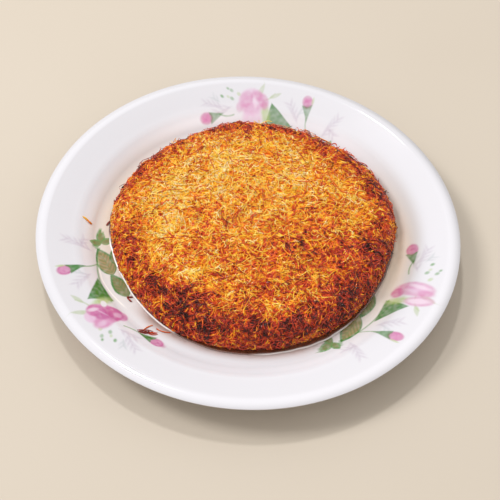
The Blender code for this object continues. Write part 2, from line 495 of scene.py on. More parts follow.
# %% [markdown]
# The marks go down as a painter would lay them: the faint sprigs first, then stems and leaves,
# then the buds and the rose on top. The three sprays are the same transfer, a little stronger in
# one place than in another, as transfers are.

# %% One spray
ROSE_DEEP, ROSE_DARK = (192, 88, 150), (208, 116, 166)
ROSE_MID, ROSE_PALE, ROSE_LIGHT = (219, 150, 188), (233, 196, 221), (244, 226, 237)
LEAF_DARK, LEAF_GREEN, LEAF_YELLOW = (72, 132, 58), (104, 160, 88), (186, 206, 140)
LEAF_OLIVE, LEAF_BEIGE, STEM = (146, 132, 92), (176, 150, 112), (186, 200, 156)
SPRIG_LILAC, SPRIG_GREY = (198, 182, 198), (188, 194, 196)
GLAZE_GAP = (242, 240, 243)

SPRIGS = (
    ((-45.5, -20.5), (-57, -10.5), 5, 2.8, SPRIG_LILAC),
    ((-50, -16), (-54, -21), 2, 2.4, SPRIG_LILAC),
    ((-29.9, -10.5), (-25.0, 2.0), 4, 2.8, SPRIG_LILAC),
    ((-30, -7), (-34, -1), 2, 2.2, SPRIG_GREY),
    ((14, -1.0), (24, -6), 3, 2.8, SPRIG_LILAC),
    ((20, -2), (32, -0.5), 4, 2.6, SPRIG_LILAC),
    ((22, 1), (27, 4), 2, 2.2, SPRIG_GREY),
)
DOTS = (
    # centre, size, colour, strength
    ((14.3, 4.5), 1.5, LEAF_GREEN, 0.6), ((17.0, 5.6), 1.1, LEAF_YELLOW, 0.6),
    ((21.0, 5.5), 1.3, LEAF_GREEN, 0.8), ((14.8, 10.2), 1.4, LEAF_GREEN, 0.6),
    ((17.4, 11.4), 1.0, LEAF_GREEN, 0.8), ((9.7, 7.9), 1.6, LEAF_YELLOW, 0.6),
    ((-47.5, -25.0), 1.6, LEAF_GREEN, 0.7), ((-49.0, -24.0), 1.1, LEAF_GREEN, 0.6),
)
VEINED_LEAVES = (
    # stem end, tip, width, colour
    ((-24.5, -22.0), (-46.5, -25.0), 11.0, LEAF_BEIGE),
    ((-6.0, -20.5), (-26.0, -21.0), 9.0, LEAF_OLIVE),
    ((-30.0, -27.5), (-41.0, -32.0), 6.0, LEAF_OLIVE),
)
ROUND_ROSE = (
    # centre, half width, half length, turn, colour, strength, softness
    ((0.8, -0.4), 7.8, 9.6, 12, ROSE_MID, 0.95, 1.6),
    ((0.2, 8.4), 4.2, 3.2, 10, ROSE_PALE, 0.9, 1.6),
    ((5.0, -8.8), 3.8, 3.2, 20, ROSE_MID, 0.95, 1.4),
    ((6.0, 3.2), 4.4, 6.6, -12, ROSE_MID, 0.95, 2.4),
    ((7.0, 5.0), 1.8, 3.0, -12, ROSE_PALE, 0.7, 2.0),
    ((-3.4, 3.0), 4.6, 5.2, 10, ROSE_DARK, 0.95, 1.5),
    ((-4.4, 4.0), 1.3, 3.2, 10, ROSE_LIGHT, 0.7, 1.2),
    ((1.8, -5.6), 5.6, 5.2, 0, ROSE_DARK, 0.95, 1.5),
    ((3.4, -7.0), 2.2, 2.2, 0, ROSE_PALE, 0.6, 1.8),
    ((1.8, 1.4), 2.8, 4.4, 20, ROSE_DEEP, 0.75, 2.2),
    ((5.6, -3.4), 2.2, 3.2, 30, ROSE_DEEP, 0.5, 2.0),
    ((-0.6, -2.0), 1.8, 3.4, 50, ROSE_DEEP, 0.4, 1.8),
    ((-6.6, -4.2), 2.6, 1.7, 35, GLAZE_GAP, 1.0, 0.9),
    ((-0.9, 0.8), 0.5, 3.2, 62, ROSE_PALE, 0.6, 1.1),
)
OPEN_ROSE = (
    ((1.0, 3.5), 8.6, 9.0, 0, ROSE_PALE, 0.95, 2.6),
    ((4.6, 4.5), 4.4, 5.8, 15, ROSE_MID, 0.8, 2.2),
    ((-6.8, 3.6), 3.4, 5.6, -15, ROSE_MID, 0.95, 1.8),
    ((-3.0, 7.4), 2.6, 3.8, 0, ROSE_MID, 0.9, 1.8),
    ((1.4, -0.8), 6.4, 3.2, 0, ROSE_MID, 0.7, 2.2),
    ((0.4, -6.6), 6.4, 5.6, 0, ROSE_PALE, 0.9, 2.6),
    ((-7.6, 1.0), 1.8, 2.6, 0, ROSE_DARK, 0.6, 1.6),
    ((0.2, 7.6), 1.1, 3.8, 10, ROSE_DARK, 0.45, 1.6),
    ((-1.2, 3.0), 1.3, 4.2, -8, ROSE_LIGHT, 0.8, 1.4),
    ((8.8, -0.8), 2.4, 3.0, 0, ROSE_MID, 0.7, 2.0),
)
LONG_ROSE = (
    ((1.0, 2.0), 5.6, 11.4, 0, ROSE_MID, 0.8, 1.8),
    ((1.6, 2.6), 3.4, 8.0, 0, ROSE_PALE, 0.9, 2.2),
    ((-2.2, -7.0), 3.8, 3.6, 0, ROSE_DARK, 0.85, 1.8),
    ((2.4, -3.0), 1.6, 4.2, 0, ROSE_MID, 0.7, 1.6),
    ((3.0, 4.0), 1.3, 6.0, 8, ROSE_LIGHT, 0.8, 1.4),
    ((-1.6, 8.6), 2.4, 5.0, 0, ROSE_MID, 0.7, 2.0),
    ((-7.8, 6.8), 3.8, 8.4, -8, ROSE_MID, 0.8, 1.6),
    ((-7.8, 6.4), 2.0, 6.6, -8, ROSE_LIGHT, 0.85, 1.6),
)


def paint_leaves(marks):
    """Sprigs, dots, stems, and the leaves beside and below the rose."""
    for sprig in SPRIGS:
        marks.sprig(*sprig)
    for centre, size, shade, strength in DOTS:
        marks.oval(centre, size, size * 0.7, 40, shade, strength, soft=1.1)
    marks.stroke((-8, -10), (-46, -26), 0.9, LEAF_GREEN, 0.7, bow=-4, soft=0.8)
    marks.stroke((-4, 4), (-14.5, 8.9), 1.0, STEM, 0.6, bow=1.5, soft=1.0)
    marks.leaf((-3, 6), (-7.5, 16.5), 3.2, STEM, 0.6, soft=1.0)
    marks.leaf((-11, 6.0), (-19, 9.5), 2.8, STEM, 0.6, soft=1.0)
    for start, end, width, shade in VEINED_LEAVES:
        marks.leaf(start, end, width, shade, 0.9, veins=LEAF_DARK)
    for tip in ((-58.4, -34.2), (-52.4, -23.4), (-47.4, -36.5)):
        marks.leaf((-48.4, -29), tip, 5.4, LEAF_OLIVE, 0.85, veins=LEAF_GREEN)
    marks.wedge(((-12.5, 2.5), (-26.5, -12.5), (-8.0, -11.5)), LEAF_DARK, 0.92, soft=0.9)
    marks.oval((-8.6, -4.5), 2.6, 6.4, -10, LEAF_YELLOW, 0.85, soft=3.0)


def paint_buds(marks, out, petal=ROSE_MID, rim=ROSE_DARK, heart=ROSE_DEEP):
    """Two buds, each in its green cup. The one at the end sits further out on some sprays."""
    marks.stroke((-35.6, -8), (-36.5, -19), 0.7, LEAF_GREEN, 0.8, bow=0.8, soft=0.8)
    marks.oval((-36.5, 2.8), 3.5, 4.6, 0, petal, 0.95, 1.3, rim=rim)
    marks.oval((-35.6, 0.8), 1.8, 2.6, 12, heart, 0.6, 1.6)
    marks.wedge(((-39.8, 0.6), (-35.7, -10.5), (-32.9, 0.4)), LEAF_DARK, 0.92, soft=1.0)
    marks.oval((-36.5, 1.2), 2.1, 1.9, 0, petal, 0.95, 1.0)
    marks.leaf((-39.4, 0.6), (-40.9, 6.4), 1.6, LEAF_YELLOW, 0.7, soft=0.8)
    marks.stroke((22, -9.4 + out), (12.5, -5.5), 0.8, LEAF_GREEN, 0.8, bow=0.8, soft=0.8)
    marks.oval((30.6, -13.0 + out), 4.4, 3.3, -22, petal, 0.95, 1.3, rim=rim)
    marks.oval((29.4, -12.4 + out), 2.5, 1.6, -22, heart, 0.6, 1.6)
    marks.wedge(((19.5, -8.4 + out), (27.2, -15.6 + out), (29.2, -9.4 + out)), LEAF_DARK, 0.92, soft=1.0)
    marks.oval((29.0, -12.4 + out), 1.7, 1.9, -22, petal, 0.95, 1.0)


print(len(SPRIGS), "sprigs,", len(VEINED_LEAVES), "veined leaves and two buds in a spray")

# %% [markdown]
# Syrup has been smeared thinly over the glaze to the right and left of the cake, and the orange
# pastry throws warm light and shade on the glaze there: both are painted as one tint that takes
# some green and blue out. In front a brown contact shade is painted close to the foot, and at the
# left a thin pale highlight where a film's edge catches the light. The well's curved wall and the
# lip are painted lighter, as light that they catch, and the wall at the right darker, as shade.
# Clear pieces of syrup that thin would flicker against the glaze, so all of this goes into the
# glaze's colour, as soft bands by distance and direction.

# %% Glaze smear and painted light
GLAZE_BANDS_MIDDLE = (2.7, 3.3)  # millimetres, under the pastry: distances away and directions start here
SMEAR_AND_BOUNCE_REACH = (88, 106)  # millimetres away over which the smear and the painted warm light fade out
SMEAR_AND_BOUNCE_TINT = (0.04, 0.21, 0.42)  # light taken out where the smear and the painted warm light and shade are strongest
SMEAR_AND_BOUNCE_SIDES = ((352, 4, 1.0), (175, 3, 0.85))  # degrees, how sharply it fades, strength
WALL_BAND = (98.5, 5.0)  # millimetres from the plate's middle, and how wide
WALL_LIFT = 0.21  # light that the wall gains
RIGHT_COSINES = (0.45, 0.98)  # towards the right, the gain ends over these cosines
BACK_BAND, BACK_LIFT = (115, 18), 0.18  # degrees, how wide, and what the wall gains there too
SHADE_BAND, RIGHT_SHADE = (101.5, 5.0), 0.20  # light that the wall loses at the right
LIP_BEGINS = (118, 126)  # millimetres from the plate's middle
LIP_SIDE, LIP_PAINTED_LIGHT = 300, 0.24  # degrees where the painted light on the lip is strongest, and how much
# painted contact shade, brown, close to the foot in front
CONTACT_SHADE_BAND = (88, 3.6)  # millimetres away, and how wide
CONTACT_SHADE_TINT = (0.36, 0.52, 0.58)
CONTACT_SHADE_SIDES = ((221, 230, 240, 262, 290, 312), (0, 1, 1, 0.75, 0.85, 0))  # degrees, strength
# a painted highlight along the edge of a syrup film
FILM_EDGE_HIGHLIGHT_PATH = ((194, 206, 212, 217, 222), (95.4, 97.2, 96.1, 94.7, 93.4))  # degrees, mm away
FILM_EDGE_HIGHLIGHT_WIDTH, FILM_EDGE_HIGHLIGHT_FADE = 0.4, 4  # millimetres, and degrees over which its ends fade
FILM_EDGE_HIGHLIGHT_COLOUR = (0.20, 0.19, 0.14)


def glaze_smear_and_painted_light(points, upper, shades):
    """Tints the colours round the pastry for the smear, and paints light, shade and a highlight into them."""
    dx, dy = points[:, 0] - GLAZE_BANDS_MIDDLE[0], points[:, 1] - GLAZE_BANDS_MIDDLE[1]
    away, turn = np.hypot(dx, dy), np.degrees(np.arctan2(dy, dx)) % 360
    radius = np.hypot(points[:, 0], points[:, 1])

    def facing(side, power=1):
        return np.cos(np.radians(turn - side)).clip(0, 1) ** power

    sides = [strength * facing(side, power) for side, power, strength in SMEAR_AND_BOUNCE_SIDES]
    # the smear of syrup and the warm light and shade that the pastry throws, painted as one tint
    smear_and_bounce = (1 - smooth(*SMEAR_AND_BOUNCE_REACH, away)) * sum(sides)
    # painted contact shade, brown, close to the foot in front
    contact_shade = bell(away, *CONTACT_SHADE_BAND) * np.interp(turn, *CONTACT_SHADE_SIDES)
    # painted light on the well's wall and the lip, and painted shade on the wall at the right
    lift = WALL_LIFT * (1 - smooth(*RIGHT_COSINES, dx / away)) + BACK_LIFT * bell(turn, *BACK_BAND)
    lip = LIP_PAINTED_LIGHT * smooth(*LIP_BEGINS, radius) * facing(LIP_SIDE)
    shade = RIGHT_SHADE * sides[0] * bell(radius, *SHADE_BAND)
    light = (1 + bell(radius, *WALL_BAND) * lift + lip - shade)[:, None]
    light = light * (1 - np.outer(smear_and_bounce, SMEAR_AND_BOUNCE_TINT)) * (1 - np.outer(contact_shade, CONTACT_SHADE_TINT))
    shades[:, :3] *= np.where(upper[:, None], light, 1)
    # a painted highlight where the edge of a syrup film catches the light
    first, last = FILM_EDGE_HIGHLIGHT_PATH[0][0], FILM_EDGE_HIGHLIGHT_PATH[0][-1]
    line = bell(away, np.interp(turn, *FILM_EDGE_HIGHLIGHT_PATH), FILM_EDGE_HIGHLIGHT_WIDTH)
    line *= smooth(first, first + FILM_EDGE_HIGHLIGHT_FADE, turn) * (1 - smooth(last - FILM_EDGE_HIGHLIGHT_FADE, last, turn))
    shades[:, :3] += np.outer(np.where(upper, line, 0), FILM_EDGE_HIGHLIGHT_COLOUR)


print("wet glaze reaches", SMEAR_AND_BOUNCE_REACH[1], "mm out")

# %% [markdown]
# Each spray is painted in its own frame, and only on the points near it. Old transfers are a
# little blotchy, so a slow noise makes each wash uneven. The finished colours are kept on the
# points of the plate, where the glaze will read them.

# %% Print on the plate
SPRAYS = (
    # strength of the leaves and of the flowers, rose, how far out the end bud sits
    (0.80, 0.66, OPEN_ROSE, 3.0),
    (1.0, 1.0, ROUND_ROSE, -2.0),
    (0.90, 0.84, LONG_ROSE, 3.5),
)
SPRAY_HALF = (70, 40)  # millimetres round the rim and across it that a spray stays within
BLOT_SIZE, BLOT_DEPTH = 2.4, 0.25  # millimetres, and how uneven a wash is
CHANGED = 0.02  # a colour further than this from plain glaze counts as changed


def spray_frame(points, degrees):
    turn = math.radians(degrees)
    x = points[:, 1] * math.cos(turn) - points[:, 0] * math.sin(turn)
    y = points[:, 0] * math.cos(turn) + points[:, 1] * math.sin(turn) - SPRAY_RADIUS
    return x, y


def store(mesh, name, kind, values):
    """Keeps a value for each point under this name."""
    made = mesh.attributes.new(name, kind, "POINT")
    field = "color" if kind == "FLOAT_COLOR" else "value"
    made.data.foreach_set(field, np.ravel(values).astype(np.float32))


def print_sprays(mesh):
    """Colours every point of the plate, and says how many differ from the plain glaze."""
    points = np.array([vertex.co for vertex in mesh.vertices]) / MM
    upper = points[:, 2] > (FLOOR_TOP / MM - 0.1)
    on_band = upper & (np.hypot(points[:, 0], points[:, 1]) < PRINT_REACH[1] / MM)
    shades = np.tile(np.append(GLAZE, 1.0), (len(points), 1))
    for degrees, (leaf_strength, flower_strength, rose, bud_out) in zip(SPRAY_ANGLES, SPRAYS):
        x, y = spray_frame(points, degrees)
        near = np.flatnonzero(on_band & (np.abs(x) < SPRAY_HALF[0]) & (np.abs(y) < SPRAY_HALF[1]))
        marks = Washes(x[near], y[near], leaf_strength)
        paint_leaves(marks)
        marks.strength = flower_strength
        paint_buds(marks, bud_out)
        for petal in rose:
            marks.oval(*petal)
        blots = np.array([noise.noise(Vector(points[k]) / BLOT_SIZE) for k in near])
        cover = np.clip(marks.cover * (1 + BLOT_DEPTH * blots), 0, 1)
        wash = marks.laid / np.maximum(marks.cover, 0.01)[:, None]
        shades[near, :3] = shades[near, :3] * (1 - cover)[:, None] + wash * cover[:, None]
    glaze_smear_and_painted_light(points, upper, shades)
    store(mesh, "glaze_colour", "FLOAT_COLOR", shades)
    return int((np.abs(shades[:, :3] - GLAZE).max(axis=1) > CHANGED).sum())


print("coloured points", print_sprays(plate.data))

# %% [markdown]
# Glazed porcelain is a white body under a thin clear glass, so it has a sharp weak reflection
# over an even white. A low roughness and a coat give the glass. A very faint slow bump bends the
# reflections as a real glaze does, and the ring that the plate stood on in the kiln stays bare.

# %% Glaze
BARE_HEIGHT = 0.35 * MM  # the foot ring is wiped bare up to here
BARE_CLAY = colour(214, 205, 190)


def glaze_finish():
    finish, tree, shader = new_finish("white glaze", Coat_Weight=0.2, Coat_Roughness=0.04, IOR=1.45)
    place = tree.add("ShaderNodeTexCoord", out="Object")
    height = tree.add("ShaderNodeSeparateXYZ", None, {0: place}, out="Z")
    bare = height < BARE_HEIGHT
    printed = tree.add("ShaderNodeAttribute", {"attribute_name": "glaze_colour"}, out="Color")
    tree.feed(shader.inputs["Base Color"], tree.blend(bare, printed, BARE_CLAY))
    tree.feed(shader.inputs["Roughness"], bare * 0.6 + 0.1)
    waves = tree.add("ShaderNodeTexNoise", None, {"Vector": place, "Scale": 45.0, "Detail": 1.0})
    bump = tree.add("ShaderNodeBump", None, {"Strength": 0.05, "Distance": 0.002, "Height": waves})
    tree.feed(shader.inputs["Normal"], bump)
    return finish


plate.data.materials.append(glaze_finish())
print("plate finished with", plate.data.materials[0].name)

# %% [markdown]
# The pastry is a disc of matted threads with a rounded shoulder and an uneven outline. Its form
# is one function: a place on the skin laid out flat goes in, and the place in space comes out.
# Everything on the pastry, the mat and each thread, is laid with it, so all of it has one form.

# %% Form of the pastry
KUNAFA_RADIUS = 86.3 * MM
KUNAFA_HEIGHT = 13.8 * MM
KUNAFA_CENTRE = (2.7 * MM, 3.3 * MM)
REST_GAP = 0.3 * MM
WIDEST_SHARE = 0.3
SHOULDER_INSET, SHOULDER_ROUND = 6 * MM, 9 * MM
BASE_INSET, SIDE_ROUND = 2 * MM, 5 * MM
OUTLINE_LOBES = ((2, 0.9 * MM, 34), (3, 0.8 * MM, 27), (4, 0.8 * MM, 7), (5, 0.8 * MM, 23))
SWELL_HEIGHT, SWELL_SIZE = 0.9 * MM, 13 * MM
TUFT_HEIGHT, TUFT_SIZE = 0.9 * MM, 5 * MM
TOP_LIMIT = 23.25 * MM  # no line stands higher than this, as the solids don't

SECTION = rounded([
    (0, KUNAFA_HEIGHT, 0, 0),
    (KUNAFA_RADIUS - SHOULDER_INSET, KUNAFA_HEIGHT, SHOULDER_ROUND, 10),
    (KUNAFA_RADIUS, KUNAFA_HEIGHT * WIDEST_SHARE, SIDE_ROUND, 6),
    (KUNAFA_RADIUS - BASE_INSET, 0, 0, 0),
])
WAYS = np.concatenate([[0], np.cumsum(np.hypot(*np.diff(SECTION, axis=0).T))])
SKIN_LENGTH = WAYS[-1]
TOP_LENGTH = SECTION[1][0]
ONWARD = np.gradient(SECTION, WAYS, axis=0)
OUTWARD = np.stack([-ONWARD[:, 1], ONWARD[:, 0]], axis=1)


def noise_at(u, v, w, size):
    """Smooth noise of this size at each place."""
    places = zip(np.ravel(u), np.ravel(v))
    return np.reshape([noise.noise(Vector((x, y, w)) / size) for x, y in places], np.shape(u))


def relief(u, v):
    """How far the matted pastry swells out of its smooth section."""
    return SWELL_HEIGHT * noise_at(u, v, 0, SWELL_SIZE) + TUFT_HEIGHT * noise_at(u, v, SWELL_SIZE, TUFT_SIZE)


def skin(u, v, lift):
    """Places on the pastry's skin, raised by lift: u and v are coordinates on the skin laid out flat."""
    way = np.minimum(np.hypot(u, v), SKIN_LENGTH)
    angle = np.arctan2(v, u)
    out_r, out_z = (np.interp(way, WAYS, OUTWARD[:, k]) for k in range(2))
    at_base = np.minimum(1, (SKIN_LENGTH - way) / (KUNAFA_HEIGHT * WIDEST_SHARE))
    rise = relief(u, v) * at_base + lift
    lobes = sum(out * np.cos(count * (angle - math.radians(peak))) for count, out, peak in OUTLINE_LOBES)
    radius = (np.interp(way, WAYS, SECTION[:, 0]) + out_r * rise) * (1 + lobes / KUNAFA_RADIUS)
    height = np.interp(way, WAYS, SECTION[:, 1]) + out_z * rise
    x = KUNAFA_CENTRE[0] + radius * np.cos(angle)
    y = KUNAFA_CENTRE[1] + radius * np.sin(angle)
    return np.stack([x, y, np.minimum(FLOOR_TOP + REST_GAP + height, TOP_LIMIT)], axis=-1)


print("skin is", round(SKIN_LENGTH / MM, 1), "mm from the middle of the top to the base")

# %% [markdown]
# Heat reached the rim first, and one side of the pan was hotter. So the middle is golden, the
# back left palest, and the front burnt in spots. One field holds how brown each place is, from 0
# to 1, and every piece of the pastry reads it. Each spot is a soft round patch added to it.

# %% Browning
BROWN_ALONG = ((0, 20, 45, 62, 75, 95), (0.42, 0.41, 0.37, 0.38, 0.43, 0.46))  # mm out, browning
RIM_BEGINS, RIM_BROWNER = (60, 82), 0.17  # millimetres from the middle, and how much browner
HOT_SIDE, HOT_BROWNER = math.radians(285), 0.08
BACK_RIM_BEGINS, BACK_RIM_BROWNER = (71, 78), 0.13
TOP_BEGINS, PALE_SIDE, PALER = (8, 30), math.radians(125), -0.09
MOTTLES = ((0.14, 7, 16), (0.18, 9, 5), (0.34, 11, 2.2))  # strength, layer of the noise, size in mm
BAKED_PATCHES = (
    # degrees, way from the middle in mm, size in mm, how much browner
    # pale stretches of the rim
    (180, 80, 15, -0.20), (208, 89, 8, -0.18), (118, 73, 11, -0.12), (296, 88, 8, -0.08), (248, 78, 6, -0.14),
    (1, 67, 9, -0.16), (45, 75, 12, -0.04),
    # broad browner areas
    (241, 67, 13, 0.19), (268, 67, 13, 0.13), (300, 69, 15, 0.10), (335, 70, 21, 0.16), (328, 44, 14, 0.10),
    (205, 72, 12, 0.05), (352, 82, 11, 0.08), (345, 56, 7, 0.06), (204, 39, 9, 0.12), (308, 30, 9, 0.10),
    (280, 48, 9, 0.14), (174, 24, 12, 0.16),
    # charred spots
    (221, 75, 4.5, 0.28), (227, 75, 4, 0.30), (236, 68, 4.5, 0.26), (245, 66, 4, 0.22), (236, 80, 4, 0.14),
    (252, 83, 4, 0.20), (275, 77, 5, 0.24), (292, 73, 3.6, 0.26), (287, 76, 3.6, 0.26), (284, 80, 3.4, 0.18),
    (294, 85, 3.6, 0.20), (321, 79, 3.6, 0.22), (311, 79, 4, 0.22), (329, 72, 5, 0.16), (343, 74, 5, 0.18),
    (358, 75, 6, 0.18), (198, 74, 5, 0.16), (207, 79, 3.6, 0.22), (169, 86, 3.5, 0.26), (154, 82, 5, 0.22),
    (144, 78, 3, 0.30), (110, 83, 4, 0.20), (96, 74, 3.4, 0.28), (84, 82, 4, 0.14), (63, 84, 4.5, 0.30),
    (54, 72, 4, 0.16), (43, 84, 4, 0.26), (20, 80, 6, 0.14), (164, 90, 3, 0.30),
)


def browned_at(u, v):
    """How brown the pastry is at each place, from 0, pale gold, to 1, charred."""
    way, angle = np.hypot(u, v) / MM, np.arctan2(v, u)
    rim = smooth(*RIM_BEGINS, way)
    brown = np.interp(way, *BROWN_ALONG)
    brown = brown + rim * (RIM_BROWNER + HOT_BROWNER * np.cos(angle - HOT_SIDE))
    brown = brown + BACK_RIM_BROWNER * smooth(*BACK_RIM_BEGINS, way) * np.sin(angle).clip(0, 1)
    brown = brown + smooth(*TOP_BEGINS, way) * (1 - rim) * PALER * np.cos(angle - PALE_SIDE)
    for degrees, patch_way, size, more in BAKED_PATCHES:
        turn = math.radians(degrees)
        far = np.hypot(u / MM - patch_way * math.cos(turn), v / MM - patch_way * math.sin(turn))
        brown = brown + more * bell(far, 0, size)
    for strength, layer, size in MOTTLES:
        brown = brown + strength * noise_at(u, v, layer, size * MM)
    return brown


print("browning at the middle", round(float(browned_at(np.zeros(1), np.zeros(1))[0]), 2))

# %% [markdown]
# Under the threads lies the mat: thousands of them pressed together into a solid sheet. It shows
# only in the gaps, so it is a closed body a little inside the form, painted browner than the
# threads as shade in the gaps. Its rings hold six points more each, which keeps its triangles
# even right up to the middle.

# %% Core of the pastry
CORE_STEP = 1.0 * MM
CORE_DEPTH = 0.75 * MM  # under the skin that the threads make
CORE_SIDE_ROWS = 18
CORE_SHADE_BROWNING = 0.14  # painted shade: browner than the threads over it, so the gaps look deep


def zip_rings(inner, outer):
    """Triangles between two rings of point numbers, which may differ in number."""
    faces = []
    i = j = 0
    while i < len(inner) or j < len(outer):
        here, there = inner[i % len(inner)], outer[j % len(outer)]
        if (j + 1) * len(inner) <= (i + 1) * len(outer):
            j += 1
            faces.append((here, there, outer[j % len(outer)]))
        else:
            i += 1
            faces.append((here, there, inner[i % len(inner)]))
    return faces


def make_core():
    """A closed body of rings on the skin, a little under it, with a flat base."""
    rows = round(TOP_LENGTH / CORE_STEP)
    ways = [(TOP_LENGTH * (k + 1) / rows, 6 * (k + 1)) for k in range(rows)]
    side = SKIN_LENGTH - TOP_LENGTH
    ways += [(TOP_LENGTH + side * (k + 1) / CORE_SIDE_ROWS, 6 * rows) for k in range(CORE_SIDE_ROWS)]
    u, v = [0.0], [0.0]
    rings = []
    for way, count in ways:
        turns = math.tau * np.arange(count) / count
        rings.append(list(range(len(u), len(u) + count)))
        u += list(way * np.cos(turns))
        v += list(way * np.sin(turns))
    u, v = np.array(u), np.array(v)
    points = skin(u, v, -CORE_DEPTH)
    points[rings[-1], 2] = FLOOR_TOP + REST_GAP
    faces = [(0, a, b) for a, b in zip(rings[0], rings[0][1:] + rings[0][:1])]
    for inner, outer in zip(rings, rings[1:]):
        faces += zip_rings(inner, outer)
    faces.append(tuple(reversed(rings[-1])))
    core = mesh_object("kunafa_mat", points, faces)
    store(core.data, "browned", "FLOAT", browned_at(u, v) + CORE_SHADE_BROWNING)
    return core


core = make_core()
print("mat has", len(core.data.polygons), "faces")

# %% [markdown]
# A thread is a curved line on the skin, given a thickness. Its line starts at a random place,
# heads along a slowly turning grain with a lot of scatter, and bends by its own curl. Its height
# over the mat rises and falls, so that threads pass over and under each other. The lines of one
# kind of thread are worked out together in arrays, one row for each thread.

# %% Lines of the threads
GRAIN_SIZE, GRAIN_SWING = 26 * MM, 1.3
CURL_CHANGE = 0.6  # how much the curl changes along a thread
WAVES = (0.6, 1.7)  # how often a thread goes over and under others


def start_places(draw, count, ways):
    """Places spread evenly over the skin between two ways from the middle."""
    way = np.sqrt(draw.uniform(ways[0] ** 2, ways[1] ** 2, count))
    turn = draw.uniform(0, math.tau, count)
    return way * np.cos(turn), way * np.sin(turn)


def thread_lines(draw, count, ways, lengths, curl, scatter, steps):
    """Flat coordinates of the points along each thread, as two arrays of count by steps + 1."""
    u, v = start_places(draw, count, ways)
    step = draw.uniform(*lengths, count) / steps
    grain = math.tau * noise_at(u, v, 3, GRAIN_SIZE) * GRAIN_SWING
    heading = grain + draw.normal(0, scatter, count)
    bend = draw.normal(0, curl, count) * step
    turn_of_bend = draw.normal(0, CURL_CHANGE, count) * bend
    us, vs = [u], [v]
    for k in range(steps):
        heading = heading + bend + turn_of_bend * (k - steps / 2) / steps
        u = u + step * np.cos(heading)
        v = v + step * np.sin(heading)
        us.append(u)
        vs.append(v)
    return np.stack(us, axis=1), np.stack(vs, axis=1)


def weaving_lift(draw, count, steps, base, height, dip):
    """Heights over the form: each thread's own level, a wave along it, and ends that dip in."""
    share = np.linspace(0, 1, steps + 1)
    level = draw.uniform(*base, (count, 1))
    waves = draw.uniform(*WAVES, (count, 1)) * share + draw.uniform(0, 1, (count, 1))
    ends = (1 - np.sin(math.pi * share)) ** 2
    return level + height * np.sin(math.tau * waves) - dip * ends


print("grain turns over", round(GRAIN_SIZE / MM), "mm")

# %% [markdown]
# Thousands of equal small pieces are what Geometry Nodes are for. The lines go in as loose edges
# with two values at each point, its thickness and how brown it is. The tree turns the edges into
# curves, sweeps a three-sided ring along them, closes the ends and sets the material. The
# evaluated result is then kept as a plain mesh.

# %% Sweep of the threads
THREAD_SIDES = 3
SWEEP_INPUTS = (("Geometry", "Geometry"), ("Sides", "Int"), ("Finish", "Material"))


def thread_tree():
    """Lines in, and closed three-sided tubes with their finish out."""
    group = bpy.data.node_groups.new("sweep threads", "GeometryNodeTree")
    for name, kind in SWEEP_INPUTS:
        group.interface.new_socket(name, in_out="INPUT", socket_type="NodeSocket" + kind)
    group.interface.new_socket("Geometry", in_out="OUTPUT", socket_type="NodeSocketGeometry")
    tree = Tree(group)
    given = group.nodes.new("NodeGroupInput").outputs
    lines, sides, finish = (Wire(tree, given[name]) for name, kind in SWEEP_INPUTS)
    curves = tree.add("GeometryNodeMeshToCurve", None, {"Mesh": lines})
    thickness = tree.add("GeometryNodeInputNamedAttribute", {"data_type": "FLOAT"}, {"Name": "thickness"})
    ring = tree.add("GeometryNodeCurvePrimitiveCircle", None, {"Resolution": sides, "Radius": 1.0})
    sockets = {"Curve": curves, "Profile Curve": ring, "Scale": thickness, "Fill Caps": True}
    tubes = tree.add("GeometryNodeCurveToMesh", None, sockets)
    rounded_tubes = tree.add("GeometryNodeSetShadeSmooth", None, {"Geometry": tubes})
    real = tree.add("GeometryNodeRealizeInstances", None, {"Geometry": rounded_tubes})
    done = tree.add("GeometryNodeSetMaterial", None, {"Geometry": real, "Material": finish})
    out = group.nodes.new("NodeGroupOutput")
    tree.feed(out.inputs[0], done)
    return group


THREAD_TREE = thread_tree()
SOCKETS = [item for item in THREAD_TREE.interface.items_tree if item.in_out == "INPUT"]
IDENTIFIERS = {socket.name: socket.identifier for socket in SOCKETS}


def sweep(name, points, thickness, browned):
    """A mesh of threads from arrays of points, with a thickness and a browning at each."""
    count, along = thickness.shape
    first = np.arange(count)[:, None] * along + np.arange(along - 1)
    edges = np.stack([first.ravel(), first.ravel() + 1], axis=1).tolist()
    lines = mesh_object(name, points.reshape(-1, 3).tolist(), [], edges)
    store(lines.data, "thickness", "FLOAT", thickness)
    store(lines.data, "browned", "FLOAT", np.clip(browned, 0, 1))
    modifier = lines.modifiers.new("sweep", "NODES")
    modifier.node_group = THREAD_TREE
    modifier[IDENTIFIERS["Sides"]] = THREAD_SIDES
    modifier[IDENTIFIERS["Finish"]] = THREAD_FINISH
    graph = bpy.context.evaluated_depsgraph_get()
    swept = bpy.data.meshes.new_from_object(lines.evaluated_get(graph), depsgraph=graph)
    lines.modifiers.remove(modifier)
    lines.data = swept
    triangles = sum(len(face.vertices) - 2 for face in swept.polygons)
    print(name, "has", count, "threads and", triangles, "triangles")
    return lines


print("each thread has", THREAD_SIDES, "sides")

# %% [markdown]
# Baked threads run from pale gold through amber and red-brown to nearly black, and the syrup
# makes them shine. The ramp holds those colours in the order that heat makes them, after a
# pinkish white at its pale end, which is a painted syrup highlight. It is read with each point's
# browning, plus a fine grain, so that no thread has one flat colour.

# %% Finish of the pastry
BAKED_AND_HIGHLIGHT = (
    # painted syrup highlight, reached mainly by the palest threads
    (0.00, colour(255, 230, 190)),
    (0.12, colour(255, 216, 104)),
    (0.30, colour(255, 190, 38)),
    (0.48, colour(247, 144, 24)),
    (0.62, colour(222, 82, 28)),
    (0.76, colour(188, 50, 32)),
    (0.90, colour(120, 36, 22)),
    (1.00, colour(46, 20, 14)),
)
GRAIN_BROWN, GRAIN_ROUGH = 0.14, 0.3  # how much the grain changes the browning and the roughness


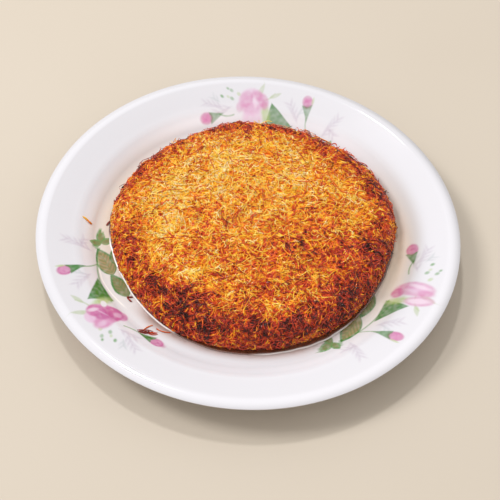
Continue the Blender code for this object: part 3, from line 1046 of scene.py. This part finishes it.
def pastry_finish(name, roughness, coat, bump):
    """Browned dough under syrup, with some light passing through it."""
    finish, tree, shader = new_finish(
        name, Coat_Weight=coat, Coat_Roughness=0.1, Specular_IOR_Level=0.2,
        Subsurface_Weight=0.24, Subsurface_Scale=0.7 * MM, Subsurface_Radius=(1.0, 0.45, 0.15),
    )
    place = tree.add("ShaderNodeTexCoord", out="Object")
    browned = tree.add("ShaderNodeAttribute", {"attribute_name": "browned"}, out="Fac")
    grain = tree.add("ShaderNodeTexNoise", None, {"Vector": place, "Scale": 900.0, "Detail": 2.0})
    level = browned + (grain - 0.5) * GRAIN_BROWN
    baked = tree.add("ShaderNodeValToRGB", {"stops": BAKED_AND_HIGHLIGHT}, {0: level}, out="Color")
    tree.feed(shader.inputs["Base Color"], baked)
    tree.feed(shader.inputs["Roughness"], grain * GRAIN_ROUGH + (roughness - GRAIN_ROUGH / 2))
    raised = tree.add("ShaderNodeBump", None, {"Strength": bump, "Distance": 0.0004, "Height": grain})
    tree.feed(shader.inputs["Normal"], raised)
    return finish


THREAD_FINISH = pastry_finish("syrupy threads", 0.36, 0.65, 0.25)
core.data.materials.append(pastry_finish("pressed mat", 0.5, 0.15, 0.9))
print("finishes", THREAD_FINISH.name, core.data.materials[0].name)

# %% [markdown]
# The mat of threads is made in layers, the deep ones first: thick amber threads that fill the
# gaps, then golden ones, then fine pale curls on top. Each layer is a piece of its own, with its
# own seed, count, thickness and height over the form.

# %% Layers of threads
WHOLE_SKIN = (0, SKIN_LENGTH - 1.5 * MM)
LAYERS = (
    # name, seed, count, lengths in mm, curl per metre, scatter, then half thickness, base lift,
    # wave and dip in mm, how much browner, spread of the browning
    ("threads_deep", 21, 4400, (6, 14), 150, 1.5, (0.42, 0.56), (-0.65, -0.15), 0.22, 0.3, 0.06, 0.11),
    ("threads_amber", 22, 4400, (4.5, 11), 230, 1.8, (0.34, 0.48), (-0.45, 0.20), 0.28, 0.4, 0.03, 0.13),
    ("threads_golden", 23, 4400, (4, 10), 300, 2.2, (0.27, 0.40), (-0.15, 0.50), 0.30, 0.5, -0.02, 0.18),
    # the palest curls reach into the painted highlight at the pale end of the ramp
    ("threads_pale", 24, 3400, (2.5, 6), 480, 2.6, (0.20, 0.30), (0.05, 0.75), 0.30, 0.5, -0.12, 0.19),
)
THREAD_STEPS = 7
BURNT = (0.46, 0.66)  # browning over which the layers lose their own shades
BURNT_EVENS = 0.2  # how much less burnt threads differ from one another
LEAST_BROWNED = 0.05
TIP_SHARE = 0.45  # of the full thickness


def thickness_along(draw, count, steps, limits):
    """Half the thickness along each thread, which thins to its tips."""
    share = np.linspace(0, 1, steps + 1)
    tips = TIP_SHARE + (1 - TIP_SHARE) * np.sin(math.pi * np.clip(share, 0.04, 0.96)) ** 0.5
    return draw.uniform(*limits, (count, 1)) * MM * tips


def make_layer(name, seed, count, lengths, curl, scatter, half, base, wave, dip, browner, spread):
    draw = np.random.default_rng(seed)
    reach = np.array(lengths) * MM
    u, v = thread_lines(draw, count, WHOLE_SKIN, reach, curl, scatter, THREAD_STEPS)
    lift = weaving_lift(draw, count, THREAD_STEPS, np.array(base) * MM, wave * MM, dip * MM)
    browned = browned_at(u, v)
    burnt = smooth(*BURNT, browned)
    own = draw.normal(0, spread, (count, 1)) * (1 - BURNT_EVENS * burnt)
    browned = np.maximum(browned + (browner * (1 - burnt) + own), LEAST_BROWNED)
    thickness = thickness_along(draw, count, THREAD_STEPS, half)
    return sweep(name, skin(u, v, lift), thickness, browned)


layers = [make_layer(*layer) for layer in LAYERS]
print(len(layers), "layers")

# %% [markdown]
# A few kinds of thread give the cake its character. Dark red hairs, threads that lay against the
# hot pan, curve over the golden top, with pale wisps between them. The rim is a frizz of short
# burnt ends that stand out of the shoulder and the side in every direction. At the back some of
# them tangle into tufts, which are placed one by one, because they shape the outline.

# %% Hairs, frizz and tufts
HAIRS = (
    # name, seed, count, ways, lengths, curl per metre, browning from and to
    ("threads_hairs", 31, 400, (6, 84), (7, 18), 85, (0.60, 0.80)),
    # the palest wisps reach into the painted highlight at the pale end of the ramp
    ("threads_wisps", 33, 560, (4, 82), (6, 14), 160, (0.06, 0.30)),
)
HAIR_STEPS, HAIR_SCATTER = 9, 1.5
HAIR_LIFT, HAIR_WAVE, HAIR_DIP = (0.35 * MM, 0.95 * MM), 0.2 * MM, 0.7 * MM
USUAL_BROWNING = 0.42  # hairs are darker where the pastry is browner than this
FRIZZ_COUNT, FRIZZ_STEPS = 3600, 5
FRIZZ_CURL, FRIZZ_SCATTER = 240, 2.5
FRIZZ_ROOT, FRIZZ_LOWEST = 0.2 * MM, 0.3 * MM  # under the form, and over the well
FRIZZ_WAYS, FRIZZ_LENGTHS, FRIZZ_STAND = (66 * MM, 93 * MM), (2.5 * MM, 8 * MM), 3.0 * MM
FRIZZ_LIES_DOWN = (84, 90)  # millimetres from the middle of the top, over which it gets short
TUFTS = (
    # degrees, browning, how many threads, how far they stand out in mm
    (142, 0.85, 5, 2.6), (133, 0.30, 5, 3.2), (110, 0.78, 8, 2.2), (103, 0.66, 6, 1.8),
    (97, 0.70, 8, 2.4), (91, 0.24, 4, 3.2), (86, 0.70, 8, 2.4), (77, 0.66, 7, 2.0),
    (72, 0.66, 8, 3.2), (68, 0.50, 5, 2.8), (63, 0.88, 9, 2.8), (55, 0.70, 7, 3.2),
    (47, 0.70, 7, 2.6), (40, 0.84, 7, 2.6), (28, 0.70, 6, 2.0), (16, 0.70, 6, 2.0),
)


def make_hairs(name, seed, count, ways, lengths, curl, brown):
    draw = np.random.default_rng(seed)
    ways, lengths = np.array(ways) * MM, np.array(lengths) * MM
    u, v = thread_lines(draw, count, ways, lengths, curl, HAIR_SCATTER, HAIR_STEPS)
    lift = weaving_lift(draw, count, HAIR_STEPS, HAIR_LIFT, HAIR_WAVE, HAIR_DIP)
    browned = draw.uniform(*brown, (count, 1)) + (browned_at(u, v) - USUAL_BROWNING).clip(0, 1)
    thickness = thickness_along(draw, count, HAIR_STEPS, (0.17, 0.27))
    return sweep(name, skin(u, v, lift), thickness, browned)


def make_frizz():
    """Short threads rooted in the shoulder and the side, whose free ends stand out."""
    draw = np.random.default_rng(32)
    u, v = thread_lines(draw, FRIZZ_COUNT, FRIZZ_WAYS, FRIZZ_LENGTHS, FRIZZ_CURL, FRIZZ_SCATTER, FRIZZ_STEPS)
    share = np.linspace(0, 1, FRIZZ_STEPS + 1)
    lying = smooth(*FRIZZ_LIES_DOWN, np.hypot(u, v)[:, :1] / MM)
    rise = draw.gamma(2.0, 0.55, (FRIZZ_COUNT, 1)) * MM * (1 - 0.75 * lying)
    rise = np.minimum(rise, FRIZZ_STAND)
    lift = rise * share ** draw.uniform(0.8, 1.6, (FRIZZ_COUNT, 1)) - FRIZZ_ROOT
    browned = browned_at(u, v) + 0.12 * share + draw.normal(0.06, 0.10, (FRIZZ_COUNT, 1))
    thickness = thickness_along(draw, FRIZZ_COUNT, FRIZZ_STEPS, (0.18, 0.30))
    points = skin(u, v, lift)
    points[..., 2] = np.maximum(points[..., 2], FLOOR_TOP + FRIZZ_LOWEST)
    return sweep("threads_frizz", points, thickness, browned)


def make_tufts():
    """Tangled ends that stick out past the back of the rim."""
    draw = np.random.default_rng(34)
    share = np.linspace(0, 1, FRIZZ_STEPS + 1)
    ways, turns, lifts, browned = [], [], [], []
    for degrees, brown, count, stand in TUFTS:
        for _ in range(count):
            start, length, swing = draw.uniform(79, 84), draw.uniform(2, 5), draw.normal(0, 4)
            ways.append(start + length * np.sin(share * draw.uniform(1.2, 2.4)))
            turns.append(np.radians(degrees + draw.normal(0, 1.5) + swing * share))
            lifts.append(stand * draw.uniform(0.5, 1.1) * np.sin(share * draw.uniform(1.3, 2.6)) - 0.2)
            browned.append(brown + draw.normal(0, 0.07) + 0 * share)
    way, turn = np.array(ways) * MM, np.array(turns)
    u, v = way * np.cos(turn), way * np.sin(turn)
    thickness = thickness_along(draw, len(u), FRIZZ_STEPS, (0.20, 0.30))
    return sweep("threads_tufts", skin(u, v, np.array(lifts) * MM), thickness, np.array(browned))


hairs = [make_hairs(*kind) for kind in HAIRS]
frizz = make_frizz()
tufts = make_tufts()

# %% [markdown]
# Syrup has run out of the cake and lies round its foot as a brown film, which climbs the pastry a
# little, as any liquid climbs what it wets. Its dark brown is also painted shade at the foot. Its
# edge has a painted white highlight in two stretches and is brown in the others. It is a closed
# ring of a low section, whose width changes round the plate.

# %% Syrup
SYRUP_POINTS = 480
SYRUP_SECTION = (
    # share of the film's width, further out in mm, height in mm, how much of the painted edge highlight
    (0, -2.2, 0.05, 0), (0, -1.9, 1.5, 0), (0, -0.6, 1.3, 0), (0, 0.0, 0.9, 0), (0, 0.4, 0.62, 0),
    (0.6, 0.1, 0.42, 0), (1, -0.2, 0.38, 0.2), (1, 0.0, 0.36, 1), (1, 0.3, 0.30, 1), (1, 0.6, 0.20, 1),
    (1, 0.75, 0.03, 1), (0.5, 0.0, 0.02, 0),
)
SYRUP_REACH = (
    # degrees, how far out of the foot in mm the film's edge begins
    (0, 1.4), (90, 2.2), (175, 2.8), (192, 2.0), (208, 1.2), (240, 1.4), (262, 2.6), (300, 3.2),
    (330, 1.9), (360, 1.4),
)
DULL_EDGE = 0.14  # how strong the painted highlight is along the rest of the film's edge
PAINTED_GLINTS = ((214, 0.86, (0.86, 0.92)), (293, 0.6, (0.92, 0.97)))  # stretches of painted highlight: degrees, how much, cosines
# the film's dark brown is syrup and painted shade at the foot; the near white is a painted highlight
SYRUP_BROWN_AND_SHADE, SYRUP_HIGHLIGHT_COLOUR = colour(118, 58, 26), colour(255, 250, 246)
THIN_ALPHA, HIGHLIGHT_ALPHA = 0.58, 0.4  # of the film, and how much its painted highlight adds


def floor_height(radius):
    """Height of the glaze at this distance from the plate's middle."""
    return np.interp(radius, ROWS[:, 0], ROWS[:, 1])


def make_syrup():
    """The closed ring, with how strong its painted highlight is at each point."""
    turns = math.tau * np.arange(SYRUP_POINTS) / SYRUP_POINTS
    foot_u, foot_v = SKIN_LENGTH * np.cos(turns), SKIN_LENGTH * np.sin(turns)
    foot = skin(foot_u, foot_v, 0)
    degrees, reach = zip(*SYRUP_REACH)
    width = np.interp(np.degrees(turns), degrees, reach) + 0.5 * noise_at(foot_u, foot_v, 1, 9 * MM)
    around = np.stack([np.cos(turns), np.sin(turns)], axis=1)
    # how strong the painted highlight is round the ring
    glint = DULL_EDGE
    for side, gain, cosines in PAINTED_GLINTS:
        glint = glint + gain * smooth(*cosines, np.cos(turns - math.radians(side)))
    points, bright = [], []
    for share, further, height, edge in SYRUP_SECTION:
        place = foot[:, :2] + around * ((share * width + further) * MM)[:, None]
        ground = floor_height(np.hypot(*place.T))
        points += np.column_stack([place, ground + height * MM]).tolist()
        bright += (edge * glint).tolist()
    rows = len(SYRUP_SECTION)
    faces = []
    for row in range(rows):
        for k in range(SYRUP_POINTS):
            after = (k + 1) % SYRUP_POINTS
            here, there = row * SYRUP_POINTS, (row + 1) % rows * SYRUP_POINTS
            faces.append((here + k, there + k, there + after, here + after))
    made = mesh_object("syrup_film", points, faces)
    store(made.data, "bright", "FLOAT", bright)
    return made


def syrup_finish():
    finish, tree, shader = new_finish("syrup", Coat_Weight=1.0, Coat_Roughness=0.02, Roughness=0.08)
    bright = tree.add("ShaderNodeAttribute", {"attribute_name": "bright"}, out="Fac")
    # painted highlight: the edge blends from the film's brown to near white
    tree.feed(shader.inputs["Base Color"], tree.blend(bright, SYRUP_BROWN_AND_SHADE, SYRUP_HIGHLIGHT_COLOUR))
    tree.feed(shader.inputs["Alpha"], bright * HIGHLIGHT_ALPHA + THIN_ALPHA)
    return finish


syrup = make_syrup()
syrup.data.materials.append(syrup_finish())
print("syrup has", len(syrup.data.polygons), "faces")

# %% [markdown]
# A few broken threads lie on the glaze: crumbs, each a few very short bits side by side, and near
# the front left a loose bundle of dark strands. They are swept like the rest of the threads, and
# each line is set down on the glaze by the height of the plate below it.

# %% Crumbs and loose strands
CRUMBS = (
    # one end and the other in mm, how far the bits stray from the line, browning, number of bits
    ((-101.4, 2.4), (-98.2, 0.9), 0.25, 0.30, 3), ((-98.8, 1.4), (-95.9, -0.1), 0.35, 0.48, 5),
    ((-86.2, 5.6), (-87.3, 1.9), 0.25, 0.88, 4),
    ((-68.2, -50.6), (-65.8, -53.6), 0.35, 0.92, 4), ((-68.2, -50.6), (-65.2, -50.4), 0.35, 0.92, 3),
    ((-85.2, 22.4), (-84.0, 19.4), 0.4, 0.80, 4),
)
BUNDLE = (
    ((-59.2, -74.4), (-51.6, -73.6), 0.9, 0.86, 9), ((-56.6, -72.6), (-51.8, -69.0), 0.3, 0.58, 3),
    ((-55.0, -74.0), (-48.4, -74.2), 0.7, 0.74, 4), ((-49.2, -70.8), (-41.2, -73.0), 0.3, 0.66, 3),
)
STRAND_STEPS = 7
STACK = 0.2 * MM  # that each further bit lies higher


def on_glaze(flat, thickness, stacked):
    """Points that lie on the plate, each thread resting on those below it."""
    ground = floor_height(np.hypot(flat[..., 0], flat[..., 1]))
    return np.concatenate([flat, (ground + thickness + stacked)[..., None]], axis=-1)


def make_bits(name, seed, groups, half_thickness, bow):
    """Bits of thread that lie along each group's line, on the glaze and on one another."""
    draw = np.random.default_rng(seed)
    share = np.linspace(0, 1, STRAND_STEPS + 1)
    lines, browned, stacked = [], [], []
    for start, end, stray, brown, bits in groups:
        for bit in range(bits):
            first = np.array(start) + draw.normal(0, stray, 2)
            last = np.array(end) + draw.normal(0, stray, 2)
            aside = np.array([first[1] - last[1], last[0] - first[0]]) * draw.uniform(-bow, bow)
            lines.append(first + np.outer(share, last - first) + np.outer(4 * share * (1 - share), aside))
            browned.append(brown + draw.normal(0, 0.05) + 0 * share)
            stacked.append(STACK * bit * (0.4 + 0.6 * np.sin(math.pi * share)))
    flat = np.array(lines) * MM
    thickness = thickness_along(draw, len(flat), STRAND_STEPS, half_thickness)
    return sweep(name, on_glaze(flat, thickness, np.array(stacked)), thickness, np.array(browned))


crumbs = make_bits("crumbs", 41, CRUMBS, (0.24, 0.36), 0.1)
strands = make_bits("loose_strands", 42, BUNDLE, (0.18, 0.26), 0.16)

# %% [markdown]
# The last step ties the pieces to the model. Each rides on its one body, and the imported plate
# and kunafa solids are hidden, so the plate and the pastry made here take their place.

# %% Ride and hide the solids
pastry = [core, *layers, *hairs, frizz, tufts, crumbs, strands]
for piece in [plate, syrup, *pastry]:
    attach(piece, "root")
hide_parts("plate")
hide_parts("kunafa")
